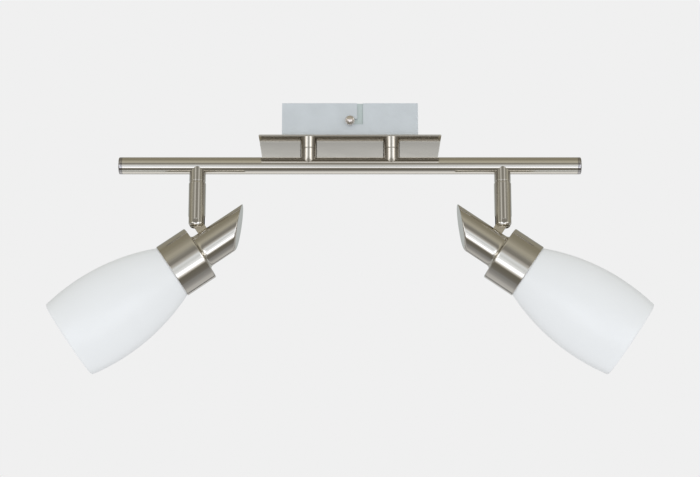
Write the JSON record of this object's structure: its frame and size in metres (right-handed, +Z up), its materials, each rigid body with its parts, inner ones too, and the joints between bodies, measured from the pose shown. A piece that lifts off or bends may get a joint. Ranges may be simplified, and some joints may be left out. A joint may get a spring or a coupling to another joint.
{
  "type": "ceiling spot bar light",
  "caption": "Ceiling bar light: box canopy with bayonet slots, cover plate and posts carry a round bar with swivelling, tilting heads in opal glass shades.",
  "frame": {"origin": "middle of the ceiling plane, between the two ceiling screw slots", "axes": "+Z up to the ceiling, +X along the bar, -Y to the front with the pictured bayonet slot"},
  "size_m": [0.4904, 0.0793, 0.2157],
  "materials": {
    "satin_nickel": "satin nickel, brushed along the length",
    "polished_nickel": "polished nickel",
    "zinc_sheet": "zinc-plated sheet, dull",
    "plated_screws": "bright zinc plating",
    "brass": "bare",
    "opal_glass": "satin white opal, not see-through",
    "lampholder_ceramic": "unglazed white",
    "block_plastic": "moulded",
    "ring_plastic": "moulded, heat resistant",
    "lead_sheath": "silicone"
  },
  "bodies": {
    "base": {"ball_screws": "polished_nickel", "bar_tube": "satin_nickel", "canopy_box": "zinc_sheet", "ceiling_bracket": "zinc_sheet", "cover_plate": "satin_nickel", "earth_screw": "brass", "earth_washer": "plated_screws", "left_arm_stub": "satin_nickel", "left_bar_lead": "lead_sheath", "left_end_cap": "polished_nickel", "left_post": "satin_nickel", "left_swivel_washer": "satin_nickel", "post_nipples": "plated_screws", "post_nuts": "plated_screws", "post_washers": "plated_screws", "right_arm_stub": "satin_nickel", "right_bar_lead": "lead_sheath", "right_end_cap": "polished_nickel", "right_post": "satin_nickel", "right_swivel_washer": "satin_nickel", "terminal_barrels": "brass", "terminal_block": "block_plastic", "terminal_clamp_screws": "plated_screws", "terminal_fixing_screws": "plated_screws"},
    "left_arm": {"left_arm_lead": "lead_sheath", "left_swivel_bolt": "plated_screws", "left_swivel_sleeve": "satin_nickel", "left_tilt_screws": "plated_screws"},
    "left_head": {"left_centre_contact": "brass", "left_glass_shade": "opal_glass", "left_head_housing": "satin_nickel", "left_head_lead": "lead_sheath", "left_holder_screws": "plated_screws", "left_holder_terminals": "brass", "left_lampholder": "lampholder_ceramic", "left_lug_nut": "plated_screws", "left_mitre_cap": "satin_nickel", "left_screw_shell": "brass", "left_shade_ring": "ring_plastic", "left_tilt_lug": "satin_nickel"},
    "right_arm": {"right_arm_lead": "lead_sheath", "right_swivel_bolt": "plated_screws", "right_swivel_sleeve": "satin_nickel", "right_tilt_screws": "plated_screws"},
    "right_head": {"right_centre_contact": "brass", "right_glass_shade": "opal_glass", "right_head_housing": "satin_nickel", "right_head_lead": "lead_sheath", "right_holder_screws": "plated_screws", "right_holder_terminals": "brass", "right_lampholder": "lampholder_ceramic", "right_lug_nut": "plated_screws", "right_mitre_cap": "satin_nickel", "right_screw_shell": "brass", "right_shade_ring": "ring_plastic", "right_tilt_lug": "satin_nickel"}
  },
  "joints": [
    {"name": "right_swivel", "type": "hinge", "parent": "base", "child": "right_arm", "pos_m": [0.125, 0, -0.0916], "axis": [0, 0, 1], "range_deg": [-120, 120]},
    {"name": "right_tilt", "type": "hinge", "parent": "right_arm", "child": "right_head", "pos_m": [0.125, 0, -0.0916], "axis": [-0.0436, 0.999, 0], "range_deg": [-34, 56]},
    {"name": "left_swivel", "type": "hinge", "parent": "base", "child": "left_arm", "pos_m": [-0.125, 0, -0.0916], "axis": [0, 0, -1], "range_deg": [-120, 120]},
    {"name": "left_tilt", "type": "hinge", "parent": "left_arm", "child": "left_head", "pos_m": [-0.125, 0, -0.0916], "axis": [-0.0436, -0.999, 0], "range_deg": [-34, 56]}
  ]
}
